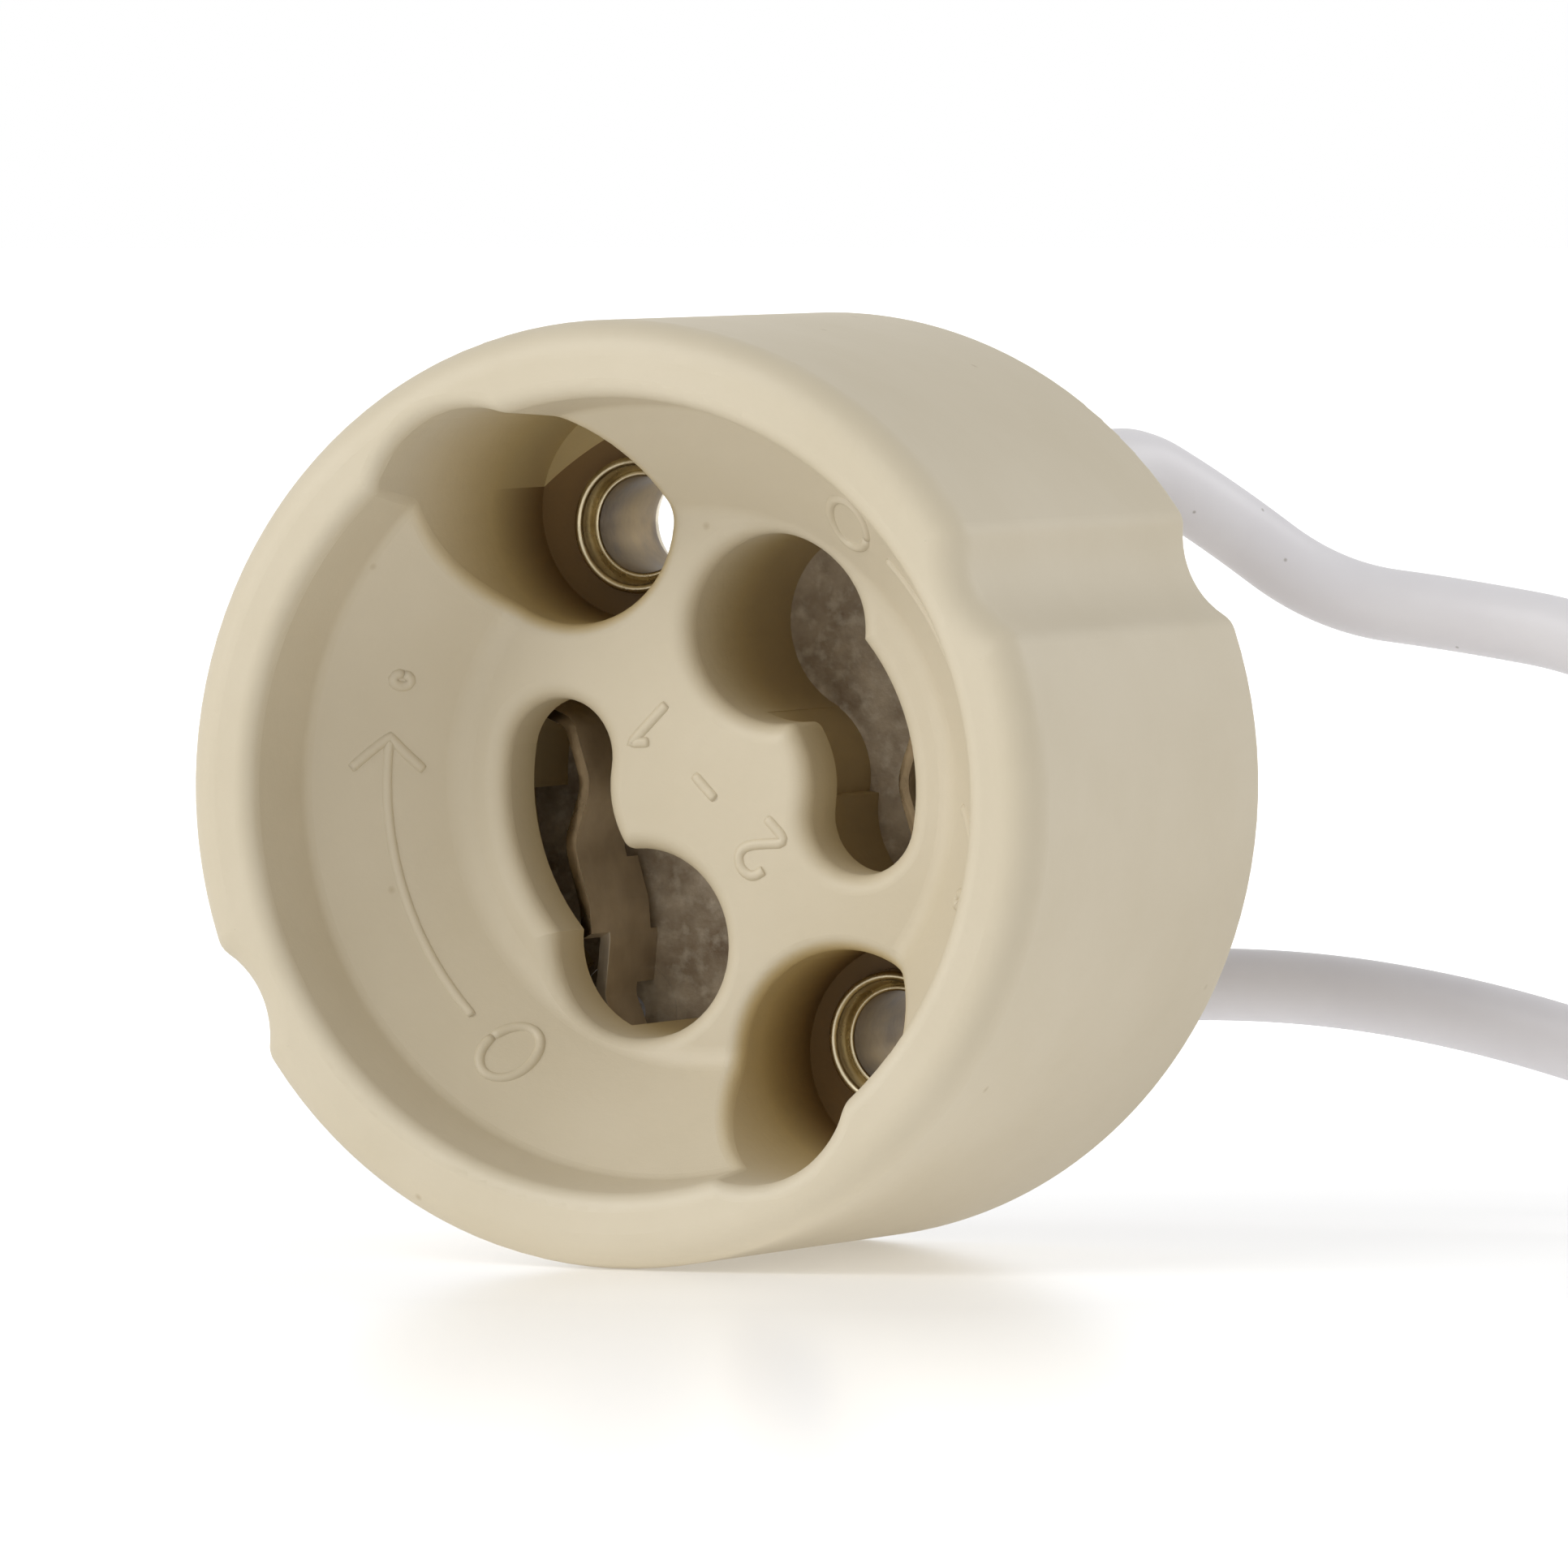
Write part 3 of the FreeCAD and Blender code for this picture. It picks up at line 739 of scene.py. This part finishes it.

# %% [markdown]
# ## Mica
#
# The back plate is pressed from mica flakes. It is brown-grey, and single flakes lie at
# slightly different angles, so some glint. Wide clouds give the uneven brown, and the peaks
# of much smaller ones lighten the colour as a painted highlight, the glint of the ragged flakes.

# %% Mica finish
mica, tree, shader = new_material("pressed mica", Roughness=0.42, IOR=1.56)
brown = use_effect(tree, clouds, Scale=700.0, Detail=5.0, Contrast=2.2,
                   Light=srgb("CFC0A8"), Dark=srgb("86735C"))
flakes = use_effect(tree, clouds, Scale=1700.0, Detail=5.0, Contrast=2.0)
# Painted highlight: the small clouds' peaks mix a pale colour in where flakes would glint.
painted_flake_glints = add_node(tree, "ShaderNodeMapRange", {"From Min": 0.5, "From Max": 0.85, "To Max": 0.5},
                         {"Value": flakes.outputs["Value"]})
glint_painted_colour = add_node(tree, "ShaderNodeMix", {7: srgb("E4DAC6")},
                  {6: brown.outputs["Color"], "Factor": painted_flake_glints.outputs["Result"]}, data_type="RGBA")
tree.links.new(glint_painted_colour.outputs[2], shader.inputs["Base Color"])
layers = use_effect(tree, grain, Broad_Scale=900.0, Fine_Scale=4200.0, Fine_Share=0.5)
add_bump(tree, shader, layers.outputs["Height"], 0.05 * MM)

# %% [markdown]
# ## Plated metal
#
# Springs and rivets are brass under a thin nickel plating, the springs dull and the rivets
# bright and a little yellow. The strands are tinned copper. All are plain metals whose
# roughness changes in soft patches, because a metal that is equally shiny all over looks
# like plastic film.


# %% Metal finishes
def plated(name, light, dark, rough_low, rough_high, cloud_scale, metallic=1.0):
    """A metal with soft patches of tarnish and a patchy shine."""
    material, tree, shader = new_material(name, Metallic=metallic)
    tarnish = use_effect(tree, clouds, Scale=cloud_scale, Detail=4.0, Contrast=2.0,
                         Light=srgb(light), Dark=srgb(dark))
    tree.links.new(tarnish.outputs["Color"], shader.inputs["Base Color"])
    shine = add_node(tree, "ShaderNodeMapRange", {"To Min": rough_low, "To Max": rough_high},
                     {"Value": tarnish.outputs["Value"]})
    tree.links.new(shine.outputs["Result"], shader.inputs["Roughness"])
    scuffs = use_effect(tree, grain, Broad_Scale=900.0, Fine_Scale=6000.0, Fine_Share=0.4)
    add_bump(tree, shader, scuffs.outputs["Height"], 0.012 * MM)
    return material


spring_metal = plated("dull nickel plating", "D6C8B0", "AC9C82", 0.32, 0.48, 500.0, metallic=0.55)
edge_metal = plated("punched edge", "7C6A50", "4E412F", 0.22, 0.36, 700.0)
rivet_metal = plated("bright yellowish plating", "DCD0B2", "A39577", 0.2, 0.34, 600.0)
# The bore's lining takes a darker, browner plating: painted shade inside the tube, with the clouds' stains on
# it.
shaded_bore_metal = plated("bore plating with painted shade", "A8926A", "4E3E28", 0.36, 0.55, 520.0, metallic=0.65)
tinned_metal = plated("tinned copper", "D8D5CE", "B9B1A4", 0.25, 0.4, 900.0)

# %% [markdown]
# ## Silicone
#
# The insulation is soft white silicone with a faint cool tint. It is smooth but not glossy
# and takes a little dust.

# %% Silicone finish
silicone, tree, shader = new_material("white silicone", Roughness=0.42, IOR=1.42)
tint = use_effect(tree, clouds, Scale=260.0, Detail=3.0, Contrast=1.5,
                  Light=srgb("EAE8EA"), Dark=srgb("E1DEE1"))
dust = use_effect(tree, specks, Scale=1500.0, Size=0.12, Share=0.08)
dusty = add_node(tree, "ShaderNodeMix", {7: srgb("B9B5B2")},
                 {6: tint.outputs["Color"], "Factor": dust.outputs["Mask"]}, data_type="RGBA")
tree.links.new(dusty.outputs[2], shader.inputs["Base Color"])
skin = use_effect(tree, grain, Broad_Scale=500.0, Fine_Scale=4000.0, Fine_Share=0.2)
add_bump(tree, shader, skin.outputs["Height"], 0.012 * MM)
print("materials:", ", ".join(material.name for material in bpy.data.materials if material.users))


# %% [markdown]
# ## Dress the pieces
#
# Every piece gets its finish and rides on the holder. Pieces that stand in for a CAD node
# say so, and that node is then hidden.


# %% Finishes
def dress(piece, material, slot_name, *stands_for):
    """Give a piece its material, and tie it to the holder."""
    piece.data.materials.clear()
    piece.data.materials.append(material)
    if stands_for:
        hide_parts(*stands_for)
    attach(piece, "root")


for node_name, material in (("ceramic_body", ceramic), ("mica_back_plate", mica)):
    nodes[node_name].data.materials.clear()
    nodes[node_name].data.materials.append(material)
for node_name, piece in spring_pieces.items():
    dress(piece, spring_metal, "contact_metal", node_name)
    piece.data.materials.append(edge_metal)
    for index in punched_edge(piece):
        piece.data.polygons[index].material_index = 1
for node_name, piece in rivet_pieces.items():
    dress(piece, rivet_metal, "rivet_metal", node_name)
    # The faces lining the bore take the darker plating, as painted shade.
    piece.data.materials.append(shaded_bore_metal)
    for index in bore_faces[piece.name]:
        piece.data.polygons[index].material_index = 1
dress(raised_marks, ceramic, "ceramic")
for washer in washers:
    dress(washer, mica, "mica")
for node_name, piece in strand_pieces.items():
    dress(piece, tinned_metal, "tinned_copper", node_name)
for side, lead, route in (("upper", upper_lead, upper_route), ("lower", lower_lead, lower_route)):
    dress(lead, silicone, "silicone", "lead_" + side)

# %% [markdown]
# ## Table, backdrop and light
#
# The holder lies on a white light table in front of white. The table is a plain pale sheet
# that keeps a soft shadow and a faint mirror image. It is lit from below a little, which
# fills the holder's underside. Where the camera or a shiny surface sees it, it is lifted to
# white, a little less just under the holder, so that the faint mirror image shows there.
# The lamps are plain: a large soft one from the left, one from the front and above, one from
# the right and behind, and a weak one from the right.

# %% Table
table = bpy.data.meshes.new("table")
bm = bmesh.new()
bmesh.ops.create_circle(bm, cap_ends=True, segments=96, radius=2.5)
bm.to_mesh(table)
bm.free()
table = bpy.data.objects.new("table", table)
table.location = (0, 0, (table_z - 0.01) * MM)
bpy.context.scene.collection.objects.link(table)


def seen_directly(tree):
    """1 for rays from the camera, from a shiny surface or through glass, and 0 for the rest."""
    path = add_node(tree, "ShaderNodeLightPath")
    first = add_node(tree, "ShaderNodeMath", {},
                     {0: path.outputs["Is Camera Ray"], 1: path.outputs["Is Glossy Ray"]},
                     operation="MAXIMUM")
    both = add_node(tree, "ShaderNodeMath", {},
                    {0: first.outputs[0], 1: path.outputs["Is Transmission Ray"]}, operation="MAXIMUM")
    return both.outputs[0]


table_white, tree, shader = new_material("white table", Roughness=0.2, IOR=1.3)
shader.inputs["Base Color"].default_value = (0.88, 0.88, 0.88, 1)
glow = add_node(tree, "ShaderNodeEmission")
spot = add_node(tree, "ShaderNodeTexCoord")
from_middle = add_node(tree, "ShaderNodeVectorMath", {}, {0: spot.outputs["Object"]}, operation="LENGTH")
lifted = add_node(tree, "ShaderNodeMapRange",
                  {"From Min": 0.03, "From Max": 0.11, "To Min": 0.2, "To Max": 0.65},
                  {"Value": from_middle.outputs["Value"]})
seen = seen_directly(tree)
unseen = add_node(tree, "ShaderNodeMath", {0: 1.0}, {1: seen}, operation="SUBTRACT")
filling = add_node(tree, "ShaderNodeMath", {1: 0.38}, {0: unseen.outputs[0]}, operation="MULTIPLY")
glow_seen = add_node(tree, "ShaderNodeMath", {}, {0: lifted.outputs["Result"], 1: seen},
                     operation="MULTIPLY")
glow_both = add_node(tree, "ShaderNodeMath", {}, {0: filling.outputs[0], 1: glow_seen.outputs[0]},
                     operation="ADD")
tree.links.new(glow_both.outputs[0], glow.inputs["Strength"])
together = add_node(tree, "ShaderNodeAddShader", {}, {0: shader.outputs[0], 1: glow.outputs[0]})
tree.links.new(together.outputs[0], tree.nodes["Material Output"].inputs["Surface"])
table.data.materials.append(table_white)

# %% World and lamps
world = bpy.data.worlds.new("white studio")
bpy.context.scene.world = world
world.use_nodes = True
tree = world.node_tree
backdrop = tree.nodes["Background"]
backdrop.inputs["Color"].default_value = (1, 1, 1, 1)
strength = add_node(tree, "ShaderNodeMapRange", {"To Min": 0.44, "To Max": 1.0},
                    {"Value": seen_directly(tree)})
tree.links.new(strength.outputs["Result"], backdrop.inputs["Strength"])


def soft_lamp(name, place, size, power):
    """A square soft lamp that faces the holder."""
    data = bpy.data.lights.new(name, "AREA")
    data.shape = "SQUARE"
    data.size = size
    data.energy = power
    lamp = bpy.data.objects.new(name, data)
    lamp.location = place
    lamp.rotation_mode = "QUATERNION"
    lamp.rotation_quaternion = (-Vector(place)).to_track_quat("-Z", "Y")
    bpy.context.scene.collection.objects.link(lamp)
    return lamp


soft_lamp("key_lamp", (-0.5, -0.5, 0.25), 0.4, 1.4)
soft_lamp("front_lamp", (-0.2, -0.55, 0.5), 0.4, 1.75)
soft_lamp("rear_lamp", (0.5, 0.45, 0.3), 0.4, 1.25)
soft_lamp("right_lamp", (0.6, -0.4, 0.12), 0.4, 0.25)
